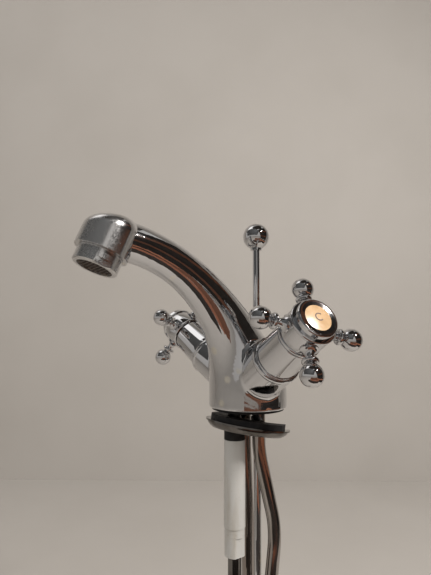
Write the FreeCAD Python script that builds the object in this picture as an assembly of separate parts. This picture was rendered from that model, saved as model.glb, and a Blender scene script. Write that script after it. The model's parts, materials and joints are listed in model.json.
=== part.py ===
import FreeCAD, Part
import math
import os

# Two-handle basin mixer tap: a cast body with a curved spout, two ceramic disc valves with cross
# handles, a pop-up lift rod, an aerator and the set that clamps the tap to a deck.
# The origin is the centre of the deck seat. +Z is up, the spout reaches towards -Y and the cold
# valve is on the +X side. Lengths are millimetres and angles are degrees.

# Clearances
RUNNING_CLEARANCE = 0.05
THREAD_CLEARANCE = 0.1
SEAT_CLEARANCE = 0.1
LOOSE_CLEARANCE = 0.35

# Base and deck seat
BASE_DIAMETER = 48.0
BASE_HEIGHT = 9.0
BASE_EDGE_RADIUS = 1.6
RECESS_RIM_WIDTH = 6.5
RECESS_DEPTH = 4.0
SEAT_RING_INSET = 1.8
SEAT_RING_WIDTH = 3.0
SEAT_RING_PROUD = 1.0
SEAT_RING_SUNK = 1.6

# Spout: ellipses on planes that swing about a level line in front of the tap
SPOUT_PIVOT_REACH = 95.0
SPOUT_BEND_RADIUS = 86.3
SPOUT_THICKNESS = 21.7
SPOUT_WIDTH = 21.2
SPOUT_BLEND = ((0, 1.0), (9, 0.88), (18, 0.585), (28, 0.335), (40, 0.16), (54, 0.045), (70, 0), (86, 0))
WATERWAY_DIAMETER = 10.0
WATERWAY_START = 24.0

# Spout head
HEAD_DIAMETER = 29.0
HEAD_TILT = 22.0
HEAD_REACH = 95.6
HEAD_HEIGHT = 87.3
HEAD_CROWN = 0.4
HEAD_EDGE_RADIUS = 8.0
HEAD_CHAMBER_DIAMETER = 18.0
HEAD_CHAMBER_HEIGHT = 6.0

# Aerator
AERATOR_DIAMETER = 24.4
AERATOR_HEIGHT = 8.6
AERATOR_WALL = 1.9
AERATOR_LIP = 0.7
AERATOR_FLAT_DEPTH = 0.8
AERATOR_FLAT_HEIGHT = 3.6
AERATOR_THREAD_STEP = 1.2
AERATOR_THREAD_LENGTH = 6.6
AERATOR_WASHER_THICKNESS = 1.6
SCREEN_THICKNESS = 1.2
SCREEN_RIM_WIDTH = 1.0
SCREEN_CELL = 1.75
SCREEN_PITCH = 2.2
CORE_WALL = 1.2

# Valve axes
VALVE_AXIS_HEIGHT = 11.5
VALVE_RISE = 30.0
VALVE_SWEEP = 10.0

# Valve cartridges
DISC_DIAMETER = 17.0
DISC_THICKNESS = 3.0
DISC_PORT_RADIUS = 2.2
DISC_PORT_CIRCLE = 4.8
DISC_FILM = 0.02
SEAT_SEAL_THICKNESS = 3.0
SEAT_SEAL_WIDTH = 2.6
SEAT_SEAL_PROUD = 1.0
HEADWORK_WALL = 1.5
HEADWORK_FLANGE_STEP = 2.4
HEADWORK_FLANGE_THICKNESS = 1.2
HEADWORK_WINDOW_WIDTH = 8.0
HEADWORK_WASHER_THICKNESS = 0.8
HEX_ACROSS_FLATS = 19.0
HEX_HEIGHT = 4.0
NECK_DIAMETER = 14.0
NECK_LENGTH = 18.0
SPINDLE_DIAMETER = 8.0
SPINDLE_FOOT_DIAMETER = 16.0
SPINDLE_FOOT_THICKNESS = 2.5
TONGUE_LENGTH = 11.0
TONGUE_WIDTH = 3.0
TONGUE_DEPTH = 1.4
ORING_SECTION = 1.2
ORING_DISTANCE = 9.0
CIRCLIP_THICKNESS = 0.8
CIRCLIP_WIDTH = 2.2
CIRCLIP_GROOVE_DEPTH = 1.0
CIRCLIP_OPENING = 3.0
SPLINE_DIAMETER = 7.2
SPLINE_TOOTH_DEPTH = 0.35
SPLINE_TEETH = 18

# Valve bosses and bonnets
BOSS_WALL = 3.8
BOSS_REACH = 38.5
BOSS_ROOT = 12.0
BOSS_FILLET = 4.0
BOSS_SEAM_ANGLE = 30.0
VALVE_BORE_DEPTH = 17.5
PORT_DIAMETER = 6.0
COLLAR_PROUD = 0.4
COLLAR_HEIGHT = 3.0
COLLAR_SEAT_WIDTH = 0.8
BONNET_WALL = 1.4
BONNET_TOP_BORE = 20.6
BONNET_WEB_THICKNESS = 2.0
BONNET_WEB_DROP = 1.2
BONNET_EDGE_RADIUS = 0.8

# Cross handles
HANDLE_REACH = 11.55
HANDLE_GAP = 0.7
HANDLE_ARMS = 4
COLD_HANDLE_ANGLE = -14.5
HOT_HANDLE_ANGLE = 22.0
HUB_BELOW = 8.1
HUB_ABOVE = 7.5
HUB_DIAMETER = 24.8
HUB_WAIST_DEPTH = 0.7
HUB_BEAD_HEIGHT = 2.2
HUB_WEB_THICKNESS = 3.0
ARM_CIRCLE_DIAMETER = 50.6
ARM_SEAT_RADIUS = 11.4
ARM_SPIGOT_DIAMETER = 4.0
ARM_SPIGOT_LENGTH = 3.4
ARM_FLANGE_DIAMETER = 9.4
ARM_FLANGE_THICKNESS = 0.9
ARM_NECK_DIAMETER = 4.4
ARM_BEAD_DIAMETER = 8.6
ARM_BEAD_THICKNESS = 2.0
ARM_BEAD_GAP = 1.5
BALL_DIAMETER = 11.6

# Index bezel, disc and handle screw
BEZEL_DIAMETER = 21.6
BEZEL_HEIGHT = 3.9
BEZEL_EDGE_RADIUS = 1.2
BEZEL_SPIGOT_DIAMETER = 18.0
BEZEL_SPIGOT_LENGTH = 1.9
BEZEL_BORE_DIAMETER = 11.0
INDEX_DIAMETER = 14.2
INDEX_THICKNESS = 2.0
INDEX_DOME = 0.5
SCREW_DIAMETER = 4.0
SCREW_LENGTH = 12.0
SCREW_HEAD_DIAMETER = 7.2
SCREW_HEAD_HEIGHT = 2.4
SCREW_SLOT_WIDTH = 1.0
SCREW_SLOT_DEPTH = 1.1

# Inlet tails
TAIL_DIAMETER = 8.0
TAIL_WALL = 0.8
TAIL_SPREAD = 14.0
TAIL_SETBACK = 3.0
TAIL_END_DEPTH = 240.0
TAIL_BEND_RADIUS = 60.0
COLD_TAIL_COURSE = ((0.0, 0.0, 24.0), (1.5, 11.5, 72.0), (2.0, 6.0, 108.0))
HOT_TAIL_COURSE = ((0.0, 0.0, 24.0), (-1.5, 3.5, 76.0))
NIPPLE_WALL = 0.9
NIPPLE_DROP = 7.0
NIPPLE_ENGAGEMENT = 8.5
NIPPLE_STOP = 4.0
NIPPLE_FLAT_DEPTH = 0.4
NIPPLE_FLAT_HEIGHT = 5.0
TAIL_ORING_SECTION = 1.1

# Lift rod
ROD_DIAMETER = 4.5
ROD_SETBACK = 7.4
ROD_END_DEPTH = 190.0
ROD_TIP_DIAMETER = 4.0
ROD_TIP_LENGTH = 30.0
ROD_TIP_CHAMFER = 0.6
ROD_BUSH_DIAMETER = 6.8
ROD_BUSH_HEIGHT = 6.0
ROD_BUSH_SEAT = 36.0
KNOB_DIAMETER = 17.0
KNOB_HEIGHT = 108.9
KNOB_COLLAR_DIAMETER = 7.4
KNOB_COLLAR_HEIGHT = 1.4
KNOB_SOCKET_DEPTH = 8.0

# Clamp set under the deck
STUD_DIAMETER = 8.0
STUD_REACH = 10.0
STUD_ENGAGEMENT = 9.0
STUD_END_DEPTH = 104.0
STUD_CHAMFER = 0.8
CLAMP_TILT = 10.0
CLAMP_DROP = 9.2
CLAMP_SLOT_RADIUS = 14.4
CLAMP_SLOT_SETBACK = 10.0
CLAMP_STUD_HOLE = 9.2
PLATE_DIAMETER = 52.0
PLATE_THICKNESS = 1.5
PLATE_RIM_HEIGHT = 4.5
PLATE_RIM_WALL = 1.6
GASKET_DIAMETER = 46.0
GASKET_THICKNESS = 3.0
BUSH_DIAMETER = 12.6
BUSH_HEIGHT = 7.2
SLEEVE_DIAMETER = 12.8
SLEEVE_LENGTH = 50.0
NUT_DIAMETER = 12.0
NUT_LENGTH = 16.0
NUT_FLAT_DEPTH = 0.9
NUT_FLAT_HEIGHT = 11.0

# Heights and radii that follow from the sizes above
base_radius = BASE_DIAMETER / 2
body_bottom = SEAT_RING_PROUD
recess_ceiling = body_bottom + RECESS_DEPTH
pivot = FreeCAD.Vector(0, -SPOUT_PIVOT_REACH, body_bottom + BASE_HEIGHT)
disc_chamber_radius = DISC_DIAMETER / 2 + SEAT_CLEARANCE
headwork_radius = disc_chamber_radius + HEADWORK_WALL
valve_bore_radius = headwork_radius + THREAD_CLEARANCE
boss_radius = valve_bore_radius + BOSS_WALL
aerator_thread_radius = AERATOR_DIAMETER / 2 - AERATOR_THREAD_STEP
aerator_bore_radius = AERATOR_DIAMETER / 2 - AERATOR_WALL
head_thread_radius = aerator_thread_radius + THREAD_CLEARANCE
head_thread_depth = AERATOR_THREAD_LENGTH + AERATOR_WASHER_THICKNESS
nipple_radius = TAIL_DIAMETER / 2 + RUNNING_CLEARANCE + NIPPLE_WALL
tail_socket_radius = nipple_radius + RUNNING_CLEARANCE
rod_radius = ROD_DIAMETER / 2

# Distances along a valve axis from the tap axis
valve_floor = BOSS_REACH - VALVE_BORE_DEPTH
fixed_disc_start = valve_floor + SEAT_SEAL_THICKNESS
moving_disc_start = fixed_disc_start + DISC_THICKNESS + DISC_FILM
spindle_start = moving_disc_start + DISC_THICKNESS
chamber_end = spindle_start + SPINDLE_FOOT_THICKNESS + RUNNING_CLEARANCE
headwork_start = valve_floor + SEAT_SEAL_PROUD
flange_start = BOSS_REACH + HEADWORK_WASHER_THICKNESS
hex_start = flange_start + HEADWORK_FLANGE_THICKNESS
neck_start = hex_start + HEX_HEIGHT
neck_end = neck_start + NECK_LENGTH
circlip_start = neck_end + RUNNING_CLEARANCE
spline_start = circlip_start + CIRCLIP_THICKNESS + 2 * RUNNING_CLEARANCE
handle_plane = neck_end + HANDLE_REACH
hub_bottom = handle_plane - HUB_BELOW
hub_top = handle_plane + HUB_ABOVE
spindle_end = handle_plane + ARM_SPIGOT_DIAMETER / 2
screw_seat = spindle_end + HUB_WEB_THICKNESS
bonnet_end = hub_bottom - HANDLE_GAP
bezel_end = hub_top + BEZEL_HEIGHT


def vector(x, y, z):
    return FreeCAD.Vector(x, y, z)


UP = vector(0, 0, 1)


def turned(start, *steps):
    """Solid of revolution about Z from a closed outline of (radius, height) points.

    Each step is a point at the end of a straight edge, or a (middle, end) pair for an arc.
    """
    edges = []
    here = start
    for step in steps + (start,):
        if isinstance(step[0], tuple):
            points = [vector(radius, 0, height) for radius, height in (here,) + step]
            edges.append(Part.Arc(*points).toShape())
            here = step[1]
        elif step != here:
            ends = [vector(radius, 0, height) for radius, height in (here, step)]
            edges.append(Part.LineSegment(*ends).toShape())
            here = step
    return Part.Face(Part.Wire(edges)).revolve(vector(0, 0, 0), UP, 360)


def rod(radius, low, high):
    return Part.makeCylinder(radius, high - low, vector(0, 0, low))


def tube(inner, outer, low, high):
    return rod(outer, low, high).cut(rod(inner, low, high))


def ring_of_section(centre_radius, section, height):
    return Part.makeTorus(centre_radius, section / 2, vector(0, 0, height))


def block(x_size, y_size, low, high):
    return Part.makeBox(x_size, y_size, high - low, vector(-x_size / 2, -y_size / 2, low))


def prism(corners, low, high):
    points = [vector(x, y, low) for x, y in corners]
    outline = Part.makePolygon(points + points[:1])
    return Part.Face(outline).extrude(vector(0, 0, high - low))


def polygon_corners(count, radius, turn=0.0):
    angles = [math.radians(turn + 360 * index / count) for index in range(count)]
    return [(radius * math.cos(angle), radius * math.sin(angle)) for angle in angles]


def placed(shape, frame):
    return shape.transformed(frame.toMatrix(), copy=True)


def at(x, y, z):
    return FreeCAD.Placement(vector(x, y, z), FreeCAD.Rotation())


def valve_frame(side):
    """Frame whose Z runs out along a valve from the tap axis and whose X points upwards."""
    rise = math.radians(VALVE_RISE)
    sweep = math.radians(VALVE_SWEEP)
    outward = vector(
        side * math.cos(rise) * math.cos(sweep),
        -math.cos(rise) * math.sin(sweep),
        math.sin(rise),
    )
    upward = UP - outward * outward.z
    turn = FreeCAD.Rotation(upward, outward.cross(upward), outward, "ZXY")
    return FreeCAD.Placement(vector(0, 0, VALVE_AXIS_HEIGHT), turn)


def head_frame():
    """Frame at the centre of the spout head's rim, with Z up along the head."""
    turn = FreeCAD.Rotation(vector(1, 0, 0), -HEAD_TILT)
    return FreeCAD.Placement(vector(0, -HEAD_REACH, HEAD_HEIGHT), turn)


def clamp_frame():
    """Frame of the loose clamp plate, whose open side droops towards the back."""
    turn = FreeCAD.Rotation(vector(1, 0, 0), -CLAMP_TILT)
    return FreeCAD.Placement(vector(0, 0, -CLAMP_DROP), turn)


def edges_on_cylinder(shape, frame, radius, low, high):
    """Curved edges of a shape that lie on a cylinder about the frame's Z between two heights."""
    inverse = frame.inverse()
    found = []
    for edge in shape.Edges:
        if edge.Curve.TypeId == "Part::GeomLine":
            continue
        samples = [inverse.multVec(point) for point in edge.discretize(7)]
        on_wall = all(abs(math.hypot(p.x, p.y) - radius) < 0.02 for p in samples)
        if on_wall and all(low < p.z < high for p in samples):
            found.append(edge)
    return found


def swung(swing, radius):
    """Point in the middle plane at a distance from the spout pivot."""
    angle = math.radians(swing)
    return pivot + vector(0, math.cos(angle), math.sin(angle)) * radius


def spout_section(swing, share):
    """Ellipse across the spout, where share says how much of the round base is left in it."""
    thickness = SPOUT_THICKNESS + (BASE_DIAMETER - SPOUT_THICKNESS) * share
    width = SPOUT_WIDTH + (BASE_DIAMETER - SPOUT_WIDTH) * share
    centre = swung(swing, SPOUT_BEND_RADIUS + (SPOUT_PIVOT_REACH - SPOUT_BEND_RADIUS) * share)
    across = (centre - pivot).normalize() * (-thickness / 2)
    sideways = vector(width / 2, 0, 0)
    along = across.cross(sideways).normalize()
    shaping = FreeCAD.Matrix(
        across.x, sideways.x, along.x, centre.x,
        across.y, sideways.y, along.y, centre.y,
        across.z, sideways.z, along.z, centre.z,
        0, 0, 0, 1,
    )
    return Part.Wire(Part.Circle().toShape().transformGeometry(shaping))


def spout_horn():
    """Loft from the round base to the head, on a foot with a rounded lower edge."""
    foot_top = body_bottom + BASE_EDGE_RADIUS
    soft = BASE_EDGE_RADIUS * (1 - math.sqrt(0.5))
    foot = turned(
        (0, body_bottom),
        (base_radius - BASE_EDGE_RADIUS, body_bottom),
        ((base_radius - soft, body_bottom + soft), (base_radius, foot_top)),
        (0, foot_top),
    )
    start = Part.Wire(Part.makeCircle(base_radius, vector(0, 0, foot_top), UP, 270, 630))
    sections = [spout_section(swing, share) for swing, share in SPOUT_BLEND]
    return Part.makeLoft([start] + sections, True, False).fuse(foot)


def spout_head():
    """Tilted cylinder cut by a crown that carries on the curve of the spout's top."""
    crown_radius = SPOUT_BEND_RADIUS + SPOUT_THICKNESS / 2 + HEAD_CROWN
    barrel = placed(Part.makeCylinder(HEAD_DIAMETER / 2, SPOUT_BEND_RADIUS), head_frame())
    side = vector(HEAD_DIAMETER, 0, 0)
    crown = Part.makeCylinder(crown_radius, 2 * HEAD_DIAMETER, pivot - side, side)
    head = barrel.common(crown)
    rim = HEAD_EDGE_RADIUS
    top_edges = edges_on_cylinder(head, head_frame(), HEAD_DIAMETER / 2, rim, SPOUT_BEND_RADIUS)
    return head.makeFillet(HEAD_EDGE_RADIUS, top_edges)


def body_waterways():
    """Inlet drillings to the valve floors, outlet drillings to the spout and the spout bore."""
    start = swung(WATERWAY_START, SPOUT_BEND_RADIUS)
    chamber = head_frame().multVec(vector(0, 0, head_thread_depth + HEAD_CHAMBER_HEIGHT / 2)) - pivot
    spout_end = math.degrees(math.atan2(chamber.z, chamber.y))
    mouth = Part.makeCircle(WATERWAY_DIAMETER / 2, start, swung(WATERWAY_START + 90, 1) - pivot)
    disc = Part.Face(Part.Wire(mouth))
    bore = disc.revolve(pivot, vector(1, 0, 0), spout_end - WATERWAY_START)
    cuts = [bore, Part.makeSphere(WATERWAY_DIAMETER / 2, start)]
    for side in (1, -1):
        outward = valve_frame(side)
        floor = outward.multVec(vector(0, 0, valve_floor + DISC_FILM))
        socket = vector(side * TAIL_SPREAD / 2, TAIL_SETBACK, recess_ceiling + NIPPLE_ENGAGEMENT)
        outlet = outward.multVec(vector(0, 0, moving_disc_start))
        for first, last in ((socket, floor), (outlet, start)):
            run = last - first
            cuts.append(Part.makeCylinder(PORT_DIAMETER / 2, run.Length, first, run))
    return cuts


def underside_cuts():
    """Recess, seat ring groove, tail sockets, stud hole and rod bore under and through the base."""
    groove_outer = base_radius - SEAT_RING_INSET
    groove_inner = groove_outer - SEAT_RING_WIDTH - 2 * SEAT_CLEARANCE
    cuts = [
        rod(base_radius - RECESS_RIM_WIDTH, 0, recess_ceiling),
        tube(groove_inner, groove_outer, 0, body_bottom + SEAT_RING_SUNK),
    ]
    for side in (1, -1):
        socket = rod(tail_socket_radius, 0, recess_ceiling + NIPPLE_ENGAGEMENT)
        cuts.append(placed(socket, at(side * TAIL_SPREAD / 2, TAIL_SETBACK, 0)))
    stud_hole = rod(STUD_DIAMETER / 2 + THREAD_CLEARANCE, 0, recess_ceiling + STUD_ENGAGEMENT)
    cuts.append(placed(stud_hole, at(0, -STUD_REACH, 0)))
    rod_bore = rod(rod_radius + LOOSE_CLEARANCE, 0, KNOB_HEIGHT)
    bush_bore = rod(ROD_BUSH_DIAMETER / 2, ROD_BUSH_SEAT, KNOB_HEIGHT)
    cuts.append(placed(rod_bore.fuse(bush_bore), at(0, ROD_SETBACK, 0)))
    return cuts


def boss(side):
    """Valve boss, turned so that its seam stays clear of the blend at its root."""
    turn = FreeCAD.Placement(vector(0, 0, 0), FreeCAD.Rotation(UP, side * BOSS_SEAM_ANGLE))
    return placed(rod(boss_radius, BOSS_ROOT, BOSS_REACH), valve_frame(side).multiply(turn))


def boss_roots(body):
    edges = []
    for side in (1, -1):
        edges += edges_on_cylinder(body, valve_frame(side), boss_radius, BOSS_ROOT, BOSS_REACH - 0.5)
    return edges


def mixer_body():
    body = spout_horn().fuse([boss(1), boss(-1)])
    body = body.makeFillet(BOSS_FILLET, boss_roots(body))
    body = body.fuse(spout_head())
    cuts = [
        placed(rod(head_thread_radius, 0, head_thread_depth), head_frame()),
        placed(rod(HEAD_CHAMBER_DIAMETER / 2, 0, head_thread_depth + HEAD_CHAMBER_HEIGHT), head_frame()),
    ]
    cuts += body_waterways() + underside_cuts()
    for side in (1, -1):
        cuts.append(placed(rod(valve_bore_radius, valve_floor, BOSS_REACH), valve_frame(side)))
    for cut in cuts:
        body = body.cut(cut)
    return body


def seat_ring():
    outer = base_radius - SEAT_RING_INSET - SEAT_CLEARANCE
    return tube(outer - SEAT_RING_WIDTH, outer, 0, body_bottom + SEAT_RING_SUNK)


def seat_seal():
    outer = DISC_DIAMETER / 2
    return tube(outer - SEAT_SEAL_WIDTH, outer, valve_floor, fixed_disc_start)


def fixed_disc():
    disc = rod(DISC_DIAMETER / 2, fixed_disc_start, fixed_disc_start + DISC_THICKNESS)
    for side in (1, -1):
        port = rod(DISC_PORT_RADIUS, fixed_disc_start, fixed_disc_start + DISC_THICKNESS)
        disc = disc.cut(placed(port, at(side * DISC_PORT_CIRCLE, 0, 0)))
    return disc


def moving_disc():
    end = moving_disc_start + DISC_THICKNESS
    disc = rod(DISC_DIAMETER / 2 - SEAT_CLEARANCE, moving_disc_start, end)
    for side in (1, -1):
        port = rod(DISC_PORT_RADIUS, moving_disc_start, end)
        disc = disc.cut(placed(port, at(0, side * DISC_PORT_CIRCLE, 0)))
    slot_length = TONGUE_LENGTH + 2 * RUNNING_CLEARANCE
    slot_width = TONGUE_WIDTH + 2 * RUNNING_CLEARANCE
    return disc.cut(block(slot_length, slot_width, end - TONGUE_DEPTH - RUNNING_CLEARANCE, end))


def headwork():
    """Brass cartridge body: ported skirt, flange, spanner hexagon and neck with the spindle bore."""
    flange_radius = headwork_radius + HEADWORK_FLANGE_STEP
    body = rod(headwork_radius, headwork_start, flange_start)
    body = body.fuse(rod(flange_radius, flange_start, hex_start))
    corners = polygon_corners(6, HEX_ACROSS_FLATS / math.sqrt(3))
    body = body.fuse(prism(corners, hex_start, neck_start))
    body = body.fuse(rod(NECK_DIAMETER / 2, neck_start, neck_end))
    window_low = fixed_disc_start + DISC_THICKNESS
    window = block(2 * valve_bore_radius, HEADWORK_WINDOW_WIDTH, window_low, spindle_start)
    chamber = rod(disc_chamber_radius, headwork_start, chamber_end)
    bore = rod(SPINDLE_DIAMETER / 2 + RUNNING_CLEARANCE, chamber_end, neck_end)
    return body.cut([window, chamber, bore])


def headwork_washer():
    inner = headwork_radius + THREAD_CLEARANCE
    return tube(inner, headwork_radius + HEADWORK_FLANGE_STEP, BOSS_REACH, flange_start)


def spline_corners(clearance=0.0):
    tip = SPLINE_DIAMETER / 2 + clearance
    corners = []
    for index in range(2 * SPLINE_TEETH):
        radius = tip - SPLINE_TOOTH_DEPTH * (index % 2)
        angle = math.pi * index / SPLINE_TEETH
        corners.append((radius * math.cos(angle), radius * math.sin(angle)))
    return corners


def oring_height():
    return neck_end - ORING_DISTANCE


def oring_centre_radius():
    return SPINDLE_DIAMETER / 2 - ORING_SECTION / 2


def spindle():
    """Drive tongue and foot, shaft with ring grooves, and the splined end that carries the hub."""
    tongue_corners = [(-0.5, -0.5), (0.5, -0.5), (0.5, 0.5), (-0.5, 0.5)]
    tongue = prism(
        [(x * TONGUE_LENGTH, y * TONGUE_WIDTH) for x, y in tongue_corners],
        spindle_start - TONGUE_DEPTH, spindle_start,
    )
    foot = rod(SPINDLE_FOOT_DIAMETER / 2, spindle_start, spindle_start + SPINDLE_FOOT_THICKNESS)
    shaft = rod(SPINDLE_DIAMETER / 2, spindle_start, spline_start)
    spline = prism(spline_corners(), spline_start, spindle_end)
    solid = foot.fuse([tongue, shaft, spline])
    half_groove = ORING_SECTION / 2 + SEAT_CLEARANCE
    groove_floor = SPINDLE_DIAMETER / 2 - ORING_SECTION - RUNNING_CLEARANCE
    clip_floor = SPINDLE_DIAMETER / 2 - CIRCLIP_GROOVE_DEPTH
    cuts = [
        tube(groove_floor, SPINDLE_DIAMETER, oring_height() - half_groove, oring_height() + half_groove),
        tube(clip_floor, SPINDLE_DIAMETER, neck_end, spline_start),
        rod(SCREW_DIAMETER / 2 + THREAD_CLEARANCE, screw_seat - SCREW_LENGTH - 1, spindle_end),
    ]
    return solid.cut(cuts)


def spindle_oring():
    return ring_of_section(oring_centre_radius(), ORING_SECTION, oring_height())


def circlip():
    inner = SPINDLE_DIAMETER / 2 - CIRCLIP_GROOVE_DEPTH + RUNNING_CLEARANCE
    ring = tube(inner, inner + CIRCLIP_WIDTH, circlip_start, circlip_start + CIRCLIP_THICKNESS)
    gap = Part.makeBox(
        2 * inner, CIRCLIP_OPENING, 2 * CIRCLIP_THICKNESS,
        vector(0, -CIRCLIP_OPENING / 2, circlip_start - CIRCLIP_THICKNESS / 2),
    )
    return ring.cut(gap)


def bonnet():
    """Tapered shroud with a rounded collar that seats on the boss and a web round the neck."""
    collar = boss_radius + COLLAR_PROUD
    collar_bore = boss_radius - COLLAR_SEAT_WIDTH
    hex_bore = HEX_ACROSS_FLATS / math.sqrt(3) + LOOSE_CLEARANCE
    base = hex_bore + BONNET_WALL
    top_bore = BONNET_TOP_BORE / 2
    top = top_bore + BONNET_WALL
    collar_end = BOSS_REACH + COLLAR_HEIGHT
    bulge = (collar - base) / 3
    hex_end = neck_start + LOOSE_CLEARANCE
    web_end = neck_end - BONNET_WEB_DROP
    web_start = web_end - BONNET_WEB_THICKNESS
    web_bore = NECK_DIAMETER / 2 + RUNNING_CLEARANCE
    edge = BONNET_EDGE_RADIUS
    soft = edge * (1 - math.sqrt(0.5))
    return turned(
        (collar_bore, BOSS_REACH),
        (collar - bulge, BOSS_REACH),
        ((collar, BOSS_REACH + COLLAR_HEIGHT / 2), (collar - bulge, collar_end)),
        ((base + bulge * 0.35, collar_end + bulge * 0.45), (base, collar_end + 2 * bulge)),
        (top, bonnet_end - edge),
        ((top - soft, bonnet_end - soft), (top - edge, bonnet_end)),
        (top_bore, bonnet_end),
        (top_bore, web_end),
        (web_bore, web_end),
        (web_bore, web_start),
        (top_bore, web_start),
        (top_bore, hex_end),
        (hex_bore, hex_end),
        (hex_bore, collar_end),
        (collar_bore, collar_end),
    )


def handle_hub():
    """Beaded barrel with a splined socket, a screw seat, arm sockets and a bezel recess."""
    barrel = HUB_DIAMETER / 2
    waist = barrel - HUB_WAIST_DEPTH
    low_bead = hub_bottom + HUB_BEAD_HEIGHT
    high_bead = hub_top - HUB_BEAD_HEIGHT
    hub = turned(
        (0, hub_bottom),
        (waist, hub_bottom),
        ((barrel, hub_bottom + HUB_BEAD_HEIGHT / 2), (waist, low_bead)),
        ((barrel - HUB_WAIST_DEPTH / 3, handle_plane), (waist, high_bead)),
        ((barrel, hub_top - HUB_BEAD_HEIGHT / 2), (waist, hub_top)),
        (0, hub_top),
    )
    recess_floor = hub_top - BEZEL_SPIGOT_LENGTH - SEAT_CLEARANCE
    cuts = [
        prism(spline_corners(RUNNING_CLEARANCE), hub_bottom, spindle_end),
        rod(SCREW_DIAMETER / 2 + LOOSE_CLEARANCE, spindle_end, screw_seat),
        rod(SCREW_HEAD_DIAMETER / 2 + LOOSE_CLEARANCE, screw_seat, hub_top),
        rod(BEZEL_SPIGOT_DIAMETER / 2 + THREAD_CLEARANCE, recess_floor, hub_top),
    ]
    for index in range(HANDLE_ARMS):
        reach = ARM_SEAT_RADIUS - ARM_SPIGOT_LENGTH - SEAT_CLEARANCE
        socket = rod(ARM_SPIGOT_DIAMETER / 2 + RUNNING_CLEARANCE, reach, HUB_DIAMETER)
        facing = rod(ARM_FLANGE_DIAMETER / 2 + RUNNING_CLEARANCE, ARM_SEAT_RADIUS, HUB_DIAMETER)
        cuts.append(placed(socket.fuse(facing), arm_frame(index)))
    return hub.cut(cuts)


def arm_frame(index):
    """Frame whose Z runs out along an arm from the handle axis."""
    lay_down = FreeCAD.Rotation(vector(0, 1, 0), 90)
    turn = FreeCAD.Rotation(UP, 360 * index / HANDLE_ARMS)
    return FreeCAD.Placement(vector(0, 0, handle_plane), turn.multiply(lay_down))


def handle_arm():
    """Turned arm: spigot, flared flange, neck, bead and ball, along Z from the handle axis."""
    ball = BALL_DIAMETER / 2
    ball_centre = ARM_CIRCLE_DIAMETER / 2
    neck = ARM_NECK_DIAMETER / 2
    flange = ARM_FLANGE_DIAMETER / 2
    bead = ARM_BEAD_DIAMETER / 2
    spigot = ARM_SPIGOT_DIAMETER / 2
    flange_end = ARM_SEAT_RADIUS + ARM_FLANGE_THICKNESS
    throat = ball_centre - math.sqrt(ball ** 2 - neck ** 2)
    bead_end = throat - ARM_BEAD_GAP / 2
    bead_start = bead_end - ARM_BEAD_THICKNESS
    flare = bead_start - flange_end
    flare_middle = (neck + (flange - neck) * 0.2, flange_end + flare * 0.35)
    return turned(
        (0, ARM_SEAT_RADIUS - ARM_SPIGOT_LENGTH),
        (spigot, ARM_SEAT_RADIUS - ARM_SPIGOT_LENGTH),
        (spigot, ARM_SEAT_RADIUS),
        (flange, ARM_SEAT_RADIUS),
        (flange, flange_end),
        (flare_middle, (neck, bead_start)),
        ((bead, (bead_start + bead_end) / 2), (neck, bead_end)),
        (neck, throat),
        ((ball, ball_centre), (0, ball_centre + ball)),
    )


def bezel():
    """Rounded ring with a spigot in the hub, a ledge under the index disc and a sunk top face."""
    outer = BEZEL_DIAMETER / 2
    edge = BEZEL_EDGE_RADIUS
    soft = edge * (1 - math.sqrt(0.5))
    ledge = bezel_end - INDEX_THICKNESS
    index_bore = INDEX_DIAMETER / 2 + SEAT_CLEARANCE
    bore = BEZEL_BORE_DIAMETER / 2
    spigot = BEZEL_SPIGOT_DIAMETER / 2
    return turned(
        (bore, hub_top - BEZEL_SPIGOT_LENGTH),
        (spigot, hub_top - BEZEL_SPIGOT_LENGTH),
        (spigot, hub_top),
        (outer, hub_top),
        (outer, bezel_end - edge),
        ((outer - soft, bezel_end - soft), (outer - edge, bezel_end)),
        (index_bore, bezel_end - INDEX_DOME),
        (index_bore, ledge),
        (bore, ledge),
    )


def index_disc():
    """Glazed disc with a shallow dome, bare of any lettering."""
    radius = INDEX_DIAMETER / 2
    low = bezel_end - INDEX_THICKNESS
    shoulder = bezel_end - INDEX_DOME
    sphere = (radius ** 2 + INDEX_DOME ** 2) / (2 * INDEX_DOME)
    half_angle = math.asin(radius / sphere) / 2
    centre = bezel_end - sphere
    middle = (sphere * math.sin(half_angle), centre + sphere * math.cos(half_angle))
    return turned(
        (0, low),
        (radius, low),
        (radius, shoulder),
        (middle, (0, bezel_end)),
    )


def handle_screw():
    head_end = screw_seat + SCREW_HEAD_HEIGHT
    shank = rod(SCREW_DIAMETER / 2, screw_seat - SCREW_LENGTH, screw_seat)
    head = rod(SCREW_HEAD_DIAMETER / 2, screw_seat, head_end)
    slot = block(2 * SCREW_HEAD_DIAMETER, SCREW_SLOT_WIDTH, head_end - SCREW_SLOT_DEPTH, head_end)
    return shank.fuse(head).cut(slot)


def tail_top():
    return recess_ceiling + NIPPLE_ENGAGEMENT - NIPPLE_STOP


def bent_course(points, radius):
    """Wire of straight runs joined by tangent arcs of one radius."""
    edges = []
    here = points[0]
    for before, corner, after in zip(points, points[1:], points[2:]):
        into = (corner - before).normalize()
        away = (after - corner).normalize()
        half_turn = into.getAngle(away) / 2
        setback = radius * math.tan(half_turn)
        bulge = radius / math.cos(half_turn) - radius
        middle = corner + (away - into).normalize() * bulge
        arc_start = corner - into * setback
        arc_end = corner + away * setback
        edges.append(Part.LineSegment(here, arc_start).toShape())
        edges.append(Part.Arc(arc_start, middle, arc_end).toShape())
        here = arc_end
    edges.append(Part.LineSegment(here, points[-1]).toShape())
    return Part.Wire(edges)


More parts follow.
